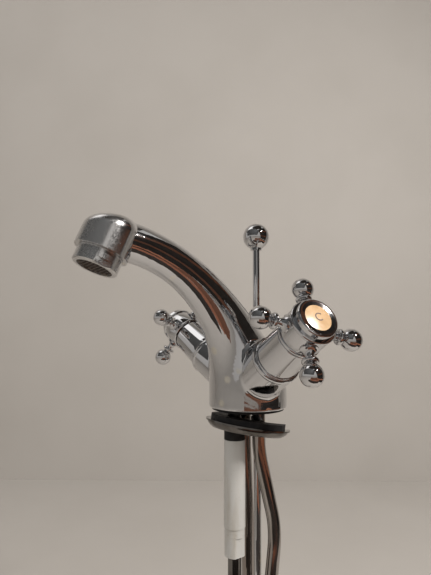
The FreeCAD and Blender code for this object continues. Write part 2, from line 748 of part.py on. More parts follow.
def inlet_tail(side, course):
    """Bent tube that hangs from its nipple and ends in a straight run."""
    x = side * TAIL_SPREAD / 2
    points = [vector(x, TAIL_SETBACK, tail_top())]
    points += [vector(x + dx, TAIL_SETBACK + dy, -depth) for dx, dy, depth in course]
    points.append(vector(points[-1].x, points[-1].y, -TAIL_END_DEPTH))
    outer = Part.Wire(Part.makeCircle(TAIL_DIAMETER / 2, points[0], UP))
    inner = Part.Wire(Part.makeCircle(TAIL_DIAMETER / 2 - TAIL_WALL, points[0], UP))
    path = bent_course(points, TAIL_BEND_RADIUS)
    return path.makePipeShell([outer], True, False).cut(path.makePipeShell([inner], True, False))


def tail_oring_height():
    return recess_ceiling + NIPPLE_ENGAGEMENT - TAIL_ORING_SECTION - SEAT_CLEARANCE


def tail_oring_centre():
    return nipple_radius - TAIL_ORING_SECTION / 2


def tail_nipple():
    """Threaded end that screws into the base, with a stop for the tube and two spanner flats."""
    low = recess_ceiling - NIPPLE_DROP
    high = recess_ceiling + NIPPLE_ENGAGEMENT
    solid = rod(nipple_radius, low, high)
    half_groove = TAIL_ORING_SECTION / 2 + RUNNING_CLEARANCE
    groove_floor = nipple_radius - TAIL_ORING_SECTION - RUNNING_CLEARANCE
    cuts = [
        rod(TAIL_DIAMETER / 2 + RUNNING_CLEARANCE, low, tail_top()),
        rod(TAIL_DIAMETER / 2 - TAIL_WALL, low, high),
        tube(groove_floor, 2 * nipple_radius, tail_oring_height() - half_groove,
             tail_oring_height() + half_groove),
    ]
    for side in (1, -1):
        flat = block(2 * nipple_radius, nipple_radius, low, low + NIPPLE_FLAT_HEIGHT)
        offset = side * (1.5 * nipple_radius - NIPPLE_FLAT_DEPTH)
        cuts.append(placed(flat, at(0, offset, 0)))
    return solid.cut(cuts)


def tail_oring():
    return ring_of_section(tail_oring_centre(), TAIL_ORING_SECTION, tail_oring_height())


def knob_collar_end():
    ball = KNOB_DIAMETER / 2
    return KNOB_HEIGHT - math.sqrt(ball ** 2 - (KNOB_COLLAR_DIAMETER / 2) ** 2)


def lift_knob():
    """Ball with a small collar and a blind socket for the rod."""
    ball = KNOB_DIAMETER / 2
    collar = KNOB_COLLAR_DIAMETER / 2
    collar_start = knob_collar_end() - KNOB_COLLAR_HEIGHT
    socket = rod_radius + RUNNING_CLEARANCE
    socket_end = collar_start + KNOB_SOCKET_DEPTH
    knob = turned(
        (socket, collar_start),
        (collar, collar_start),
        (collar, knob_collar_end()),
        ((ball, KNOB_HEIGHT), (0, KNOB_HEIGHT + ball)),
        (0, socket_end),
        (socket, socket_end),
    )
    return placed(knob, at(0, ROD_SETBACK, 0))


def lift_rod():
    """Straight rod whose lower end is turned down to take a linkage clamp."""
    top = knob_collar_end() - KNOB_COLLAR_HEIGHT + KNOB_SOCKET_DEPTH
    tip = ROD_TIP_DIAMETER / 2
    shape = turned(
        (0, -ROD_END_DEPTH),
        (tip - ROD_TIP_CHAMFER, -ROD_END_DEPTH),
        (tip, -ROD_END_DEPTH + ROD_TIP_CHAMFER),
        (tip, -ROD_END_DEPTH + ROD_TIP_LENGTH),
        (rod_radius, -ROD_END_DEPTH + ROD_TIP_LENGTH),
        (rod_radius, top),
        (0, top),
    )
    return placed(shape, at(0, ROD_SETBACK, 0))


def rod_bush():
    outer = ROD_BUSH_DIAMETER / 2 - RUNNING_CLEARANCE
    bush = tube(rod_radius + RUNNING_CLEARANCE, outer, ROD_BUSH_SEAT, ROD_BUSH_SEAT + ROD_BUSH_HEIGHT)
    return placed(bush, at(0, ROD_SETBACK, 0))


def horseshoe(radius, low, high):
    """Disc with a round-ended slot that opens towards the back."""
    slot = rod(CLAMP_SLOT_RADIUS, low, high)
    mouth = Part.makeBox(
        2 * CLAMP_SLOT_RADIUS, 2 * radius, high - low, vector(-CLAMP_SLOT_RADIUS, 0, low)
    )
    return rod(radius, low, high).cut(placed(slot.fuse(mouth), at(0, CLAMP_SLOT_SETBACK, 0)))


def stud_hole():
    depth = CLAMP_DROP + PLATE_DIAMETER
    return placed(rod(CLAMP_STUD_HOLE / 2, -depth, depth), at(0, -STUD_REACH, 0))


def clamp_plate():
    """Pressed horseshoe with a turned-down rim."""
    plate = horseshoe(PLATE_DIAMETER / 2, -PLATE_RIM_HEIGHT, 0)
    plate = plate.cut(rod(PLATE_DIAMETER / 2 - PLATE_RIM_WALL, -PLATE_RIM_HEIGHT, -PLATE_THICKNESS))
    return placed(plate, clamp_frame()).cut(stud_hole())


def clamp_gasket():
    gasket = horseshoe(GASKET_DIAMETER / 2, 0, GASKET_THICKNESS)
    return placed(gasket, clamp_frame()).cut(stud_hole())


def bush_top():
    """Height where the bush's back edge meets the underside of the tilted plate."""
    tilt = math.radians(CLAMP_TILT)
    back = -STUD_REACH + BUSH_DIAMETER / 2
    return -CLAMP_DROP - back * math.tan(tilt) - PLATE_THICKNESS / math.cos(tilt) - RUNNING_CLEARANCE


def on_stud(inner, outer, low, high):
    return placed(tube(inner, outer, low, high), at(0, -STUD_REACH, 0))


def clamp_bush():
    bore = STUD_DIAMETER / 2 + LOOSE_CLEARANCE
    return on_stud(bore, BUSH_DIAMETER / 2, bush_top() - BUSH_HEIGHT, bush_top())


def spacer_sleeve():
    bore = STUD_DIAMETER / 2 + LOOSE_CLEARANCE
    high = bush_top() - BUSH_HEIGHT
    return on_stud(bore, SLEEVE_DIAMETER / 2, high - SLEEVE_LENGTH, high)


def fixing_nut():
    """Long round nut with two spanner flats at its lower end."""
    high = bush_top() - BUSH_HEIGHT - SLEEVE_LENGTH
    low = high - NUT_LENGTH
    nut = tube(STUD_DIAMETER / 2 + THREAD_CLEARANCE, NUT_DIAMETER / 2, low, high)
    for side in (1, -1):
        flat = block(NUT_DIAMETER, NUT_DIAMETER, low, low + NUT_FLAT_HEIGHT)
        nut = nut.cut(placed(flat, at(side * (NUT_DIAMETER - NUT_FLAT_DEPTH), 0, 0)))
    return placed(nut, at(0, -STUD_REACH, 0))


def fixing_stud():
    radius = STUD_DIAMETER / 2
    top = recess_ceiling + STUD_ENGAGEMENT - SEAT_CLEARANCE
    stud = turned(
        (0, -STUD_END_DEPTH),
        (radius - STUD_CHAMFER, -STUD_END_DEPTH),
        (radius, -STUD_END_DEPTH + STUD_CHAMFER),
        (radius, top),
        (0, top),
    )
    return placed(stud, at(0, -STUD_REACH, 0))


def aerator_housing():
    """Flanged shell with a male thread, a lip that holds the screen and two spanner flats."""
    outer = AERATOR_DIAMETER / 2
    low = -AERATOR_HEIGHT
    bore = aerator_bore_radius
    shell = turned(
        (bore - AERATOR_LIP, low),
        (outer - AERATOR_LIP, low),
        (outer, low + AERATOR_LIP),
        (outer, -SEAT_CLEARANCE),
        (aerator_thread_radius, -SEAT_CLEARANCE),
        (aerator_thread_radius, AERATOR_THREAD_LENGTH),
        (bore, AERATOR_THREAD_LENGTH),
        (bore, low + AERATOR_LIP),
        (bore - AERATOR_LIP, low + AERATOR_LIP),
    )
    for side in (1, -1):
        flat = block(outer, 2 * outer, low, low + AERATOR_FLAT_HEIGHT)
        shell = shell.cut(placed(flat, at(side * (1.5 * outer - AERATOR_FLAT_DEPTH), 0, 0)))
    return placed(shell, head_frame())


def aerator_screen():
    """Honeycomb disc that rests on the lip of the housing."""
    radius = aerator_bore_radius - RUNNING_CLEARANCE
    low = -AERATOR_HEIGHT + AERATOR_LIP
    face = Part.Face(Part.Wire(Part.makeCircle(radius, vector(0, 0, low), UP)))
    cell = SCREEN_CELL / math.sqrt(3)
    count = int(radius / SCREEN_PITCH)
    holes = []
    for row in range(-count, count + 1):
        for column in range(-count, count + 1):
            x = (column + row / 2) * SCREEN_PITCH
            y = row * SCREEN_PITCH * math.sqrt(3) / 2
            if math.hypot(x, y) + cell < radius - SCREEN_RIM_WIDTH:
                corners = [vector(x + a, y + b, low) for a, b in polygon_corners(6, cell, 30)]
                holes.append(Part.Wire(Part.makePolygon(corners + corners[:1])))
    net = Part.Face([face.OuterWire] + holes, "Part::FaceMakerCheese")
    return placed(net.extrude(vector(0, 0, SCREEN_THICKNESS)), head_frame())


def aerator_core():
    """Plastic cup above the screen that mixes air into the water."""
    outer = aerator_bore_radius - RUNNING_CLEARANCE
    low = -AERATOR_HEIGHT + AERATOR_LIP + SCREEN_THICKNESS
    high = AERATOR_THREAD_LENGTH
    throat = outer / 2
    core = turned(
        (outer - CORE_WALL, low),
        (outer, low),
        (outer, high),
        (outer - CORE_WALL, high),
        (throat, high - 2 * CORE_WALL),
        (throat, high - 4 * CORE_WALL),
        (outer - CORE_WALL, high - 4 * CORE_WALL),
    )
    return placed(core, head_frame())


def aerator_washer():
    low = AERATOR_THREAD_LENGTH
    inner = HEAD_CHAMBER_DIAMETER / 2 - CORE_WALL
    washer = tube(inner, aerator_thread_radius, low, low + AERATOR_WASHER_THICKNESS)
    return placed(washer, head_frame())


def handle_nodes(name, frame, rest_angle):
    """Pieces that turn together with one cross handle."""
    rest = FreeCAD.Placement(vector(0, 0, 0), FreeCAD.Rotation(UP, rest_angle))
    turned_frame = frame.multiply(rest)
    nodes = {
        "spindle": spindle(),
        "spindle_oring": spindle_oring(),
        "circlip": circlip(),
        "moving_disc": moving_disc(),
        "handle_hub": handle_hub(),
        "bezel": bezel(),
        "index_disc": index_disc(),
        "handle_screw": handle_screw(),
    }
    for index in range(HANDLE_ARMS):
        nodes["handle_arm_%d" % (index + 1)] = placed(handle_arm(), arm_frame(index))
    return {name + "_" + key: placed(shape, turned_frame) for key, shape in nodes.items()}


def valve_nodes(name, frame):
    """Pieces of one valve that stay still in the body."""
    nodes = {
        "seat_seal": seat_seal(),
        "fixed_disc": fixed_disc(),
        "headwork": headwork(),
        "headwork_washer": headwork_washer(),
        "bonnet": bonnet(),
    }
    return {name + "_" + key: placed(shape, frame) for key, shape in nodes.items()}


def tail_nodes(name, side, course):
    seat = at(side * TAIL_SPREAD / 2, TAIL_SETBACK, 0)
    return {
        name + "_tail": inlet_tail(side, course),
        name + "_tail_nipple": placed(tail_nipple(), seat),
        name + "_tail_oring": placed(tail_oring(), seat),
    }


def all_nodes():
    nodes = {
        "mixer_body": mixer_body(),
        "seat_ring": seat_ring(),
        "lift_knob": lift_knob(),
        "lift_rod": lift_rod(),
        "rod_bush": rod_bush(),
        "fixing_stud": fixing_stud(),
        "clamp_plate": clamp_plate(),
        "clamp_gasket": clamp_gasket(),
        "clamp_bush": clamp_bush(),
        "spacer_sleeve": spacer_sleeve(),
        "fixing_nut": fixing_nut(),
        "aerator_housing": aerator_housing(),
        "aerator_screen": aerator_screen(),
        "aerator_core": aerator_core(),
        "aerator_washer": aerator_washer(),
    }
    sides = (
        ("cold", 1, COLD_HANDLE_ANGLE, COLD_TAIL_COURSE),
        ("hot", -1, HOT_HANDLE_ANGLE, HOT_TAIL_COURSE),
    )
    for name, side, rest_angle, course in sides:
        frame = valve_frame(side)
        nodes.update(handle_nodes(name, frame, rest_angle))
        nodes.update(valve_nodes(name, frame))
        nodes.update(tail_nodes(name, side, course))
    return nodes


def main():
    os.makedirs("parts", exist_ok=True)
    for name, shape in all_nodes().items():
        shape.exportStep("parts/" + name + ".step")


main()
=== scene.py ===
"""Looks of a twin-handle basin mixer tap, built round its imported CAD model, in metres."""

import json
import logging
import math
from dataclasses import dataclass, field
from enum import Enum
from typing import ClassVar

import bmesh
import bpy
from mathutils import Matrix, Vector


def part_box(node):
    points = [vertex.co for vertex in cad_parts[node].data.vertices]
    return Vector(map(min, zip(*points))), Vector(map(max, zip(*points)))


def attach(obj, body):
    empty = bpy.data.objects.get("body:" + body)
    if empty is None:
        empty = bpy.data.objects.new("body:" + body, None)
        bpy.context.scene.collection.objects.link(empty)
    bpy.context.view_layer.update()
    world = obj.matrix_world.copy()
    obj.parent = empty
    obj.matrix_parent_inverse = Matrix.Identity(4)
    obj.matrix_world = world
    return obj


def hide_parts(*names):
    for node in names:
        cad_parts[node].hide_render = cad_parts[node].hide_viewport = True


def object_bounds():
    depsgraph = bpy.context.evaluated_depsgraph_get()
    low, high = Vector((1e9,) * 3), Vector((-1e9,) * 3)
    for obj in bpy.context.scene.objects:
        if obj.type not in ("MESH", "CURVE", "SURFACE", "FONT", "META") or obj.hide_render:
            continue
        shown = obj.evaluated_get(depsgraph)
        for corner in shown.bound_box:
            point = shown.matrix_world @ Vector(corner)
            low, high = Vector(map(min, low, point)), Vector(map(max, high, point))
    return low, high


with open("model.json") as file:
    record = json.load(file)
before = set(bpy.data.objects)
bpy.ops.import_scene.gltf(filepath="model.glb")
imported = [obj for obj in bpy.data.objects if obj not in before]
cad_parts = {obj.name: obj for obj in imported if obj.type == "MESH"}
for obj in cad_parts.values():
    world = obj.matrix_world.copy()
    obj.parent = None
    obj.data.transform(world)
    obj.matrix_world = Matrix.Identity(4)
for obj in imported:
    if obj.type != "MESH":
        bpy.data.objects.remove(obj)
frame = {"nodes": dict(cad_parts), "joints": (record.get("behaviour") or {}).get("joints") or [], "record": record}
CAD_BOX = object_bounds()
LOG = logging.getLogger("mixer_tap")

Triple = tuple[float, float, float]
Colour = Triple
Span = tuple[float, float]
EVEN: Triple = (1.0, 1.0, 1.0)


def mesh_from(name: str, shape: bmesh.types.BMesh) -> bpy.types.Mesh:
    """Turn a bmesh into a mesh.

    Args:
        name: Name of the mesh.
        shape: The bmesh, which is freed.

    Returns:
        The new mesh.
    """
    mesh = bpy.data.meshes.new(name)
    shape.to_mesh(mesh)
    shape.free()
    return mesh


def new_object(name: str, data: bpy.types.ID) -> bpy.types.Object:
    """Make an object and link it to the scene.

    Args:
        name: Name of the object.
        data: Its mesh, curve, lamp or camera.

    Returns:
        The new object.
    """
    thing = bpy.data.objects.new(name, data)
    bpy.context.scene.collection.objects.link(thing)
    return thing


class Socket:
    """A shader value that adds Math nodes when it is used in an expression."""

    def __init__(self, graph: "Graph", link: bpy.types.NodeSocket) -> None:
        """Keep the graph and the output that carries the value."""
        self.graph = graph
        self.link = link

    def _math(self, operation: str, first: "Socket | float", second: "Socket | float") -> "Socket":
        """Add one Math node.

        Args:
            operation: Name of the operation, in Blender's words.
            first: First operand.
            second: Second operand.

        Returns:
            The result as a new value.
        """
        node = self.graph.add("ShaderNodeMath", {"operation": operation}, {0: first, 1: second})
        return Socket(self.graph, node.outputs[0])

    def __add__(self, other: "Socket | float") -> "Socket":
        """Sum of two values."""
        return self._math("ADD", self, other)

    def __sub__(self, other: "Socket | float") -> "Socket":
        """Difference of two values."""
        return self._math("SUBTRACT", self, other)

    def __rsub__(self, other: float) -> "Socket":
        """Difference with a number first."""
        return self._math("SUBTRACT", other, self)

    def __mul__(self, other: "Socket | float") -> "Socket":
        """Product of two values."""
        return self._math("MULTIPLY", self, other)

    __radd__ = __add__
    __rmul__ = __mul__


class Graph:
    """Node tree of one material or of the world."""

    # Places of a Mix node's sockets in its colour mode.
    mix_share: ClassVar[int] = 0
    mix_first: ClassVar[int] = 6
    mix_second: ClassVar[int] = 7
    mix_result: ClassVar[int] = 2

    def __init__(self, tree: bpy.types.NodeTree) -> None:
        """Start from an empty tree."""
        self.tree = tree
        tree.nodes.clear()

    def add(self, kind: str, settings: dict | None = None, inputs: dict | None = None) -> bpy.types.Node:
        """Add a node, set it up and feed its sockets.

        Args:
            kind: Node type name.
            settings: Attributes of the node, which are set first.
            inputs: Socket name or index, and its number, colour or linked value.

        Returns:
            The new node.
        """
        node = self.tree.nodes.new(kind)
        for name, value in (settings or {}).items():
            setattr(node, name, value)
        for key, value in (inputs or {}).items():
            source = value.link if isinstance(value, Socket) else value
            if isinstance(source, bpy.types.NodeSocket):
                self.tree.links.new(source, node.inputs[key])
            else:
                node.inputs[key].default_value = source
        return node

    def place(self) -> bpy.types.NodeSocket:
        """Object coordinates."""
        return self.add("ShaderNodeTexCoord").outputs["Object"]

    def along(self, axis: str) -> Socket:
        """Object coordinate along one axis, named by its letter."""
        return Socket(self, self.add("ShaderNodeSeparateXYZ", None, {0: self.place()}).outputs[axis])

    def noise(self, scale: float, detail: float, stretch: Triple = EVEN) -> Socket:
        """Noise on Object coordinates.

        Args:
            scale: Features per metre, roughly.
            detail: Octaves of finer noise.
            stretch: Scale along each axis.

        Returns:
            A value near 0.5 that varies from 0 to 1.
        """
        mapped = self.add("ShaderNodeMapping", None, {"Vector": self.place(), "Scale": stretch})
        inputs = {"Vector": mapped.outputs[0], "Scale": scale, "Detail": detail}
        return Socket(self, self.add("ShaderNodeTexNoise", None, inputs).outputs["Fac"])

    def cells(self, scale: float) -> Socket:
        """Distance to the nearest of many scattered points, as a share of their spacing.

        Args:
            scale: Points per metre, roughly.

        Returns:
            The distance.
        """
        inputs = {"Vector": self.place(), "Scale": scale}
        return Socket(self, self.add("ShaderNodeTexVoronoi", None, inputs).outputs["Distance"])

    def window(self, value: Socket, low: float, high: float) -> Socket:
        """Value that rises from 0 to 1 between two limits.

        Args:
            value: What is compared.
            low: Where the result leaves 0.
            high: Where the result reaches 1.

        Returns:
            The clamped result.
        """
        inputs = {"Value": value, "From Min": low, "From Max": high}
        return Socket(self, self.add("ShaderNodeMapRange", {"clamp": True}, inputs).outputs[0])

    def blend(self, share: Socket, first: Colour, second: Colour) -> bpy.types.NodeSocket:
        """Colour between two colours.

        Args:
            share: 0 for the first colour and 1 for the second.
            first: First colour.
            second: Second colour.

        Returns:
            The mixed colour's output.
        """
        inputs = {self.mix_share: share, self.mix_first: (*first, 1.0), self.mix_second: (*second, 1.0)}
        return self.add("ShaderNodeMix", {"data_type": "RGBA"}, inputs).outputs[self.mix_result]


@dataclass(frozen=True)
class Finish:
    """Surface of one material, with two tones, a span of roughness and a fine bump."""

    name: str
    colour: Colour
    second: Colour
    metallic: float = 0.0
    smooth: float = 0.3
    rough: float = 0.5
    scale: float = 120.0
    stretch: Triple = EVEN
    bump: float = 0.0
    bump_scale: float = 2500.0
    coat: float = 0.0
    specular: float = 0.5
    tone_detail: ClassVar[float] = 5.0
    tone_span: ClassVar[Span] = (0.38, 0.68)
    wear_finer: ClassVar[float] = 2.3
    wear_detail: ClassVar[float] = 6.0
    wear_span: ClassVar[Span] = (0.35, 0.75)
    bump_detail: ClassVar[float] = 3.0
    bump_depth: ClassVar[float] = 0.0002
    coat_rough: ClassVar[float] = 0.05

    def tone(self, graph: Graph) -> Socket:
        """Share of the second tone over the surface."""
        return graph.window(graph.noise(self.scale, self.tone_detail, self.stretch), *self.tone_span)

    def wear(self, graph: Graph) -> Socket:
        """Share of the rougher polish over the surface."""
        grain = graph.noise(self.scale * self.wear_finer, self.wear_detail, self.stretch)
        return graph.window(grain, *self.wear_span)

    def build(self) -> bpy.types.Material:
        """Make the material.

        Returns:
            A material with a Principled shader.
        """
        material = bpy.data.materials.new(self.name)
        material.use_nodes = True
        graph = Graph(material.node_tree)
        spread = self.rough - self.smooth
        inputs = {
            "Base Color": graph.blend(self.tone(graph), self.colour, self.second),
            "Roughness": self.wear(graph) * spread + self.smooth,
            "Metallic": self.metallic,
            "Coat Weight": self.coat,
            "Coat Roughness": self.coat_rough,
            "Specular IOR Level": self.specular,
        }
        if self.bump:
            height = graph.noise(self.bump_scale, self.bump_detail, self.stretch)
            relief = {"Strength": self.bump, "Distance": self.bump_depth, "Height": height}
            inputs["Normal"] = graph.add("ShaderNodeBump", None, relief).outputs[0]
        shader = graph.add("ShaderNodeBsdfPrincipled", None, inputs)
        graph.add("ShaderNodeOutputMaterial", None, {"Surface": shader.outputs[0]})
        return material


@dataclass(frozen=True)
class DriedSpots:
    """Round water marks that gather in patches, with spans where a mark ends and a patch begins."""

    per_metre: float
    spot_span: Span
    patch_scale: float
    patch_detail: float
    patch_span: Span

    def mask(self, graph: Graph) -> Socket:
        """Share of the marks over the surface."""
        rounds = 1.0 - graph.window(graph.cells(self.per_metre), *self.spot_span)
        return rounds * graph.window(graph.noise(self.patch_scale, self.patch_detail), *self.patch_span)


@dataclass(frozen=True)
class WaterMarkedChrome(Finish):
    """Polished plate with dried drops, faint smears and a haze of scale round the outlet."""

    drops: ClassVar[DriedSpots] = DriedSpots(
        per_metre=420.0, spot_span=(0.10, 0.20), patch_scale=70.0, patch_detail=3.0, patch_span=(0.52, 0.66)
    )
    splashes: ClassVar[DriedSpots] = DriedSpots(
        per_metre=70.0, spot_span=(0.13, 0.21), patch_scale=45.0, patch_detail=2.0, patch_span=(0.50, 0.56)
    )
    outlet_reach: ClassVar[Span] = (0.080, 0.092)
    speck_scale: ClassVar[float] = 1500.0
    speck_detail: ClassVar[float] = 2.0
    speck_span: ClassVar[Span] = (0.40, 0.62)
    speck_share: ClassVar[float] = 0.35
    smear_span: ClassVar[Span] = (0.5, 0.85)
    haze_tone: ClassVar[float] = 0.25
    drop_wear: ClassVar[float] = 0.45
    smear_wear: ClassVar[float] = 0.18
    splash_wear: ClassVar[float] = 0.6
    haze_wear: ClassVar[float] = 0.75

    def haze(self, graph: Graph) -> Socket:
        """Speckled scale, which grows towards the outlet in front.

        Args:
            graph: The material's nodes.

        Returns:
            Share of scale over the surface.
        """
        near = graph.window(0.0 - graph.along("Y"), *self.outlet_reach)
        specks = graph.window(graph.noise(self.speck_scale, self.speck_detail), *self.speck_span)
        return near * (specks * self.speck_share + (1.0 - self.speck_share))

    def tone(self, graph: Graph) -> Socket:
        """Dried splashes and specks of scale."""
        return self.splashes.mask(graph) + self.haze(graph) * self.haze_tone

    def wear(self, graph: Graph) -> Socket:
        """Dried drops and splashes over a faint smear and the haze.

        Args:
            graph: The material's nodes.

        Returns:
            Share of the rougher polish over the surface.
        """
        smear = graph.window(graph.noise(self.scale, self.tone_detail), *self.smear_span)
        marks = self.drops.mask(graph) * self.drop_wear + smear * self.smear_wear
        return marks + self.splashes.mask(graph) * self.splash_wear + self.haze(graph) * self.haze_wear


@dataclass(frozen=True)
class StainedPlastic(Finish):
    """Moulded plastic with yellowed streaks along its length."""

    streak_detail: ClassVar[float] = 4.0
    streak_stretch: ClassVar[Triple] = (1.0, 1.0, 0.15)
    streak_span: ClassVar[Span] = (0.5, 0.72)
    streak_share: ClassVar[float] = 0.6
    speck_scale: ClassVar[float] = 900.0
    speck_detail: ClassVar[float] = 2.0
    speck_span: ClassVar[Span] = (0.66, 0.74)
    speck_share: ClassVar[float] = 0.4

    def tone(self, graph: Graph) -> Socket:
        """Streaks and small specks of dirt.

        Args:
            graph: The material's nodes.

        Returns:
            Share of the stained tone over the surface.
        """
        grain = graph.noise(self.scale, self.streak_detail, self.streak_stretch)
        streaks = graph.window(grain, *self.streak_span)
        specks = graph.window(graph.noise(self.speck_scale, self.speck_detail), *self.speck_span)
        return streaks * self.streak_share + specks * self.speck_share


class Metal(Enum):
    """Bright finishes."""

    CHROME = WaterMarkedChrome(
        "polished_chrome", (0.66, 0.66, 0.67), (0.74, 0.71, 0.64),
        metallic=1.0, smooth=0.045, rough=0.34, scale=60.0,
    )
    TAIL = Finish(
        "drawn_tail_chrome", (0.43, 0.405, 0.385), (0.30, 0.265, 0.24),
        metallic=1.0, smooth=0.07, rough=0.20, scale=90.0, stretch=(1.0, 1.0, 0.12),
        bump=0.05, bump_scale=1800.0,
    )
    STEEL = Finish(
        "pressed_zinc_steel", (0.20, 0.19, 0.18), (0.11, 0.10, 0.09),
        metallic=1.0, smooth=0.09, rough=0.22, scale=110.0,
    )
    BRASS = Finish(
        "machined_brass", (0.70, 0.52, 0.24), (0.58, 0.40, 0.17),
        metallic=1.0, smooth=0.22, rough=0.4, scale=150.0, bump=0.05,
    )


class Solid(Enum):
    """Dull and glazed finishes."""

    RUBBER = Finish(
        "black_rubber", (0.008, 0.008, 0.009), (0.018, 0.017, 0.016),
        smooth=0.45, rough=0.7, scale=240.0, bump=0.2, specular=0.2,
    )
    WHITE = StainedPlastic(
        "white_sleeve_plastic", (0.50, 0.49, 0.465), (0.36, 0.315, 0.245),
        smooth=0.28, rough=0.5, scale=160.0, bump=0.05,
    )
    DARK = Finish(
        "dark_aerator_plastic", (0.045, 0.035, 0.03), (0.11, 0.075, 0.055),
        smooth=0.35, rough=0.6, scale=400.0, bump=0.1,
    )
    NYLON = Finish(
        "natural_nylon", (0.72, 0.70, 0.64), (0.62, 0.58, 0.50),
        smooth=0.35, rough=0.5, scale=200.0, bump=0.05,
    )
    CERAMIC = Finish(
        "lapped_ceramic", (0.80, 0.80, 0.78), (0.74, 0.73, 0.70),
        smooth=0.1, rough=0.2, scale=300.0,
    )
    FIBRE = Finish(
        "red_fibre", (0.36, 0.13, 0.09), (0.24, 0.09, 0.07),
        smooth=0.7, rough=0.9, scale=600.0, bump=0.3,
    )
    ENAMEL = Finish(
        "glazed_cream_enamel", (0.66, 0.45, 0.26), (0.56, 0.36, 0.19),
        smooth=0.16, rough=0.3, scale=260.0, coat=0.6,
    )
    INK = Finish(
        "fired_brown_ink", (0.07, 0.035, 0.02), (0.12, 0.06, 0.035),
        smooth=0.3, rough=0.5, scale=500.0,
    )


SLOT_FINISH: dict[str, Metal | Solid] = {
    "chrome": Metal.CHROME,
    "tail_chrome": Metal.TAIL,
    "zinc_steel": Metal.STEEL,
    "brass": Metal.BRASS,
    "black_rubber": Solid.RUBBER,
    "white_plastic": Solid.WHITE,
    "dark_plastic": Solid.DARK,
    "nylon": Solid.NYLON,
    "ceramic": Solid.CERAMIC,
    "fibre": Solid.FIBRE,
    "cream_enamel": Solid.ENAMEL,
}


class Paintbox:
    """Makes each finish once and hands it out."""

    def __init__(self) -> None:
        """Start with no material made."""
        self.made: dict[str, bpy.types.Material] = {}

    def get(self, finish: Metal | Solid) -> bpy.types.Material:
        """Material of a finish.

        Args:
            finish: Which finish is wanted.

        Returns:
            The shared material.
        """
        name = finish.value.name
        if name not in self.made:
            self.made[name] = finish.value.build()
        return self.made[name]


@dataclass
class Dresser:
    """Makes the pieces, puts them on their bodies and gives them their finish."""

    paints: Paintbox
    crease: float = math.radians(28.0)
    weld: float = 2e-6

    def piece(
        self, name: str, shape: bmesh.types.BMesh, body: str, slot: str, finish: Metal | Solid
    ) -> bpy.types.Object:
        """Make an object from a bmesh and put it on a body.

        Args:
            name: Name of the piece.
            shape: Its mesh, in place, which is freed.
            body: CAD body that carries it.
            slot: Material slot of the record; not used.
            finish: Its finish.

        Returns:
            The new object.
        """
        mesh = mesh_from(name, shape)
        mesh.materials.append(self.paints.get(finish))
        thing = new_object(name, mesh)
        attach(thing, body)
        LOG.info("%s: %d faces on %s", name, len(mesh.polygons), body)
        return thing

    def welded(self, node: str) -> bmesh.types.BMesh:
        """Copy of a CAD node's mesh with its loose triangles joined.

        Args:
            node: CAD node.

        Returns:
            The copy.
        """
        shape = bmesh.new()
        shape.from_mesh(frame["nodes"][node].data)
        bmesh.ops.remove_doubles(shape, verts=shape.verts, dist=self.weld)
        return shape

    def soften(self, shape: bmesh.types.BMesh) -> None:
        """Shade a mesh smoothly and keep its sharp edges.

        Args:
            shape: The mesh, which is changed.
        """
        for face in shape.faces:
            face.smooth = True
        for edge in shape.edges:
            edge.smooth = len(edge.link_faces) == 2 and edge.calc_face_angle(0.0) < self.crease

    def skin(self, node: str, body: str, slot: str) -> bpy.types.Object:
        """Welded, smooth copy of a CAD node that stands for it.

        Args:
            node: CAD node.
            body: CAD body that carries it.
            slot: Material slot of the record, which sets its finish.

        Returns:
            The new piece.
        """
        shape = self.welded(node)
        self.soften(shape)
        thing = self.piece(node + "_skin", shape, body, slot, SLOT_FINISH[slot])
        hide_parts(node)
        return thing


@dataclass
class SubAssembly:
    """Pieces that move together as one body."""

    dresser: Dresser
    body: str

    def shaped_here(self) -> set[str]:
        """Nodes that the sub-assembly shapes by itself."""
        return set()

    def build(self) -> None:
        """Give every other node of the body a smooth skin and its finish."""
        slots = {part["node"]: part["material_slot"] for part in frame["record"]["subparts"]}
        for node in frame["record"]["behaviour"]["bodies"][self.body]:
            if node not in self.shaped_here():
                self.dresser.skin(node, self.body, slots[node])


@dataclass
class TapBody(SubAssembly):
    """Cast body with its valves, outlet, tails and the threaded fixing stud."""

    pitch: float = 0.00125
    thread_depth: float = 0.0003
    crest_proud: float = 0.00003
    crest_place: float = 0.4
    ridge_width: float = 0.8
    steps: int = 20
    bare_end: float = 0.0008
    bare_turns: int = 1

    def build(self) -> None:
        """Dress the nodes, then put the thread on the stud."""
        super().build()
        self.stud_thread()

    def stud_thread(self) -> bpy.types.Object:
        """Sweep one ridge along a helix on the bare lower end of the stud.

        Returns:
            The thread as a piece.
        """
        low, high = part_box("fixing_stud")
        centre = (low + high) / 2
        radius = (high.x - low.x) / 2
        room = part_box("fixing_nut")[0].z - low.z - 2 * self.bare_end
        turns = int(room / self.pitch) - self.bare_turns
        shape = bmesh.new()
        start = Vector((centre.x + radius, centre.y, low.z + self.bare_end))
        corners = (
            (-self.thread_depth, 0.0),
            (self.crest_proud, self.crest_place * self.pitch),
            (-self.thread_depth, self.ridge_width * self.pitch),
        )
        ridge = shape.faces.new([shape.verts.new(start + Vector((out, 0, up))) for out, up in corners])
        bmesh.ops.spin(
            shape,
            geom=ridge.verts[:] + ridge.edges[:] + [ridge],
            cent=centre,
            axis=(0, 0, 1),
            dvec=(0, 0, self.pitch / self.steps),
            angle=2 * math.pi * turns,
            steps=self.steps * turns,
            use_merge=False,
        )
        bmesh.ops.recalc_face_normals(shape, faces=shape.faces)
        self.dresser.soften(shape)
        return self.dresser.piece("fixing_stud_thread", shape, self.body, "zinc_steel", Metal.STEEL)


class Side(Enum):
    """Water side of a handle, with the letter on its disc."""

    COLD = "C"
    HOT = "H"


